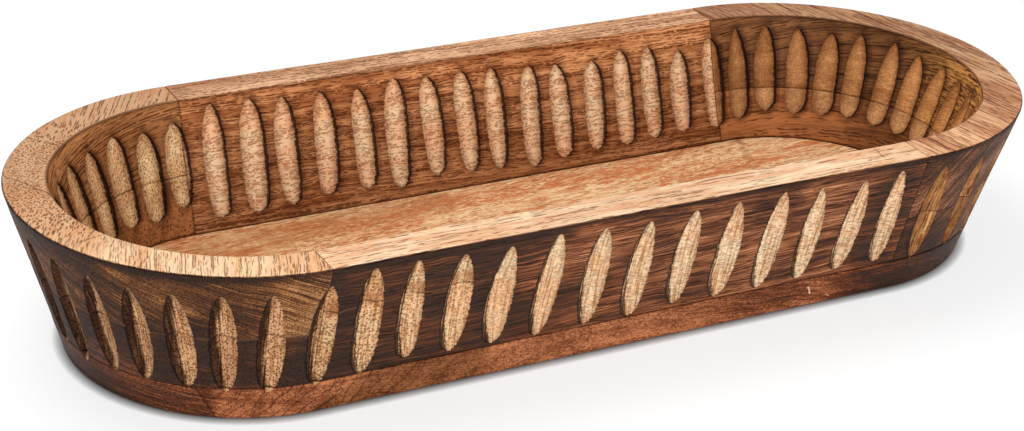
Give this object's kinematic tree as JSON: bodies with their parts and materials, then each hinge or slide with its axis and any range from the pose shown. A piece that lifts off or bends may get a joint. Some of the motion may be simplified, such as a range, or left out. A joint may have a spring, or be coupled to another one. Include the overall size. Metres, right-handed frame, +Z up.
{
  "type": "dough bowl",
  "caption": "Long wooden dough bowl with round ends and flared, fluted walls, glued up from planks, stacked end blocks and base boards; scorched outside, pale rim.",
  "frame": {"origin": "on the table under the middle of the bowl", "axes": "+X along the bowl, +Y across it towards the back wall, +Z up"},
  "size_m": [0.48, 0.2, 0.075],
  "materials": {
    "side_plank": "scorched and brushed outside, oiled inside, sanded rim",
    "end_block": "scorched and brushed outside, oiled inside, sanded rim",
    "base_board": "sanded and oiled",
    "base_strip": "sanded and oiled"
  },
  "bodies": {
    "root": {"front_wall": "side_plank", "back_wall": "side_plank", "left_end_upper": "end_block", "left_end_lower": "end_block", "right_end_upper": "end_block", "right_end_lower": "end_block", "base_board": "base_board", "base_front_strip": "base_strip"}
  },
  "joints": []
}
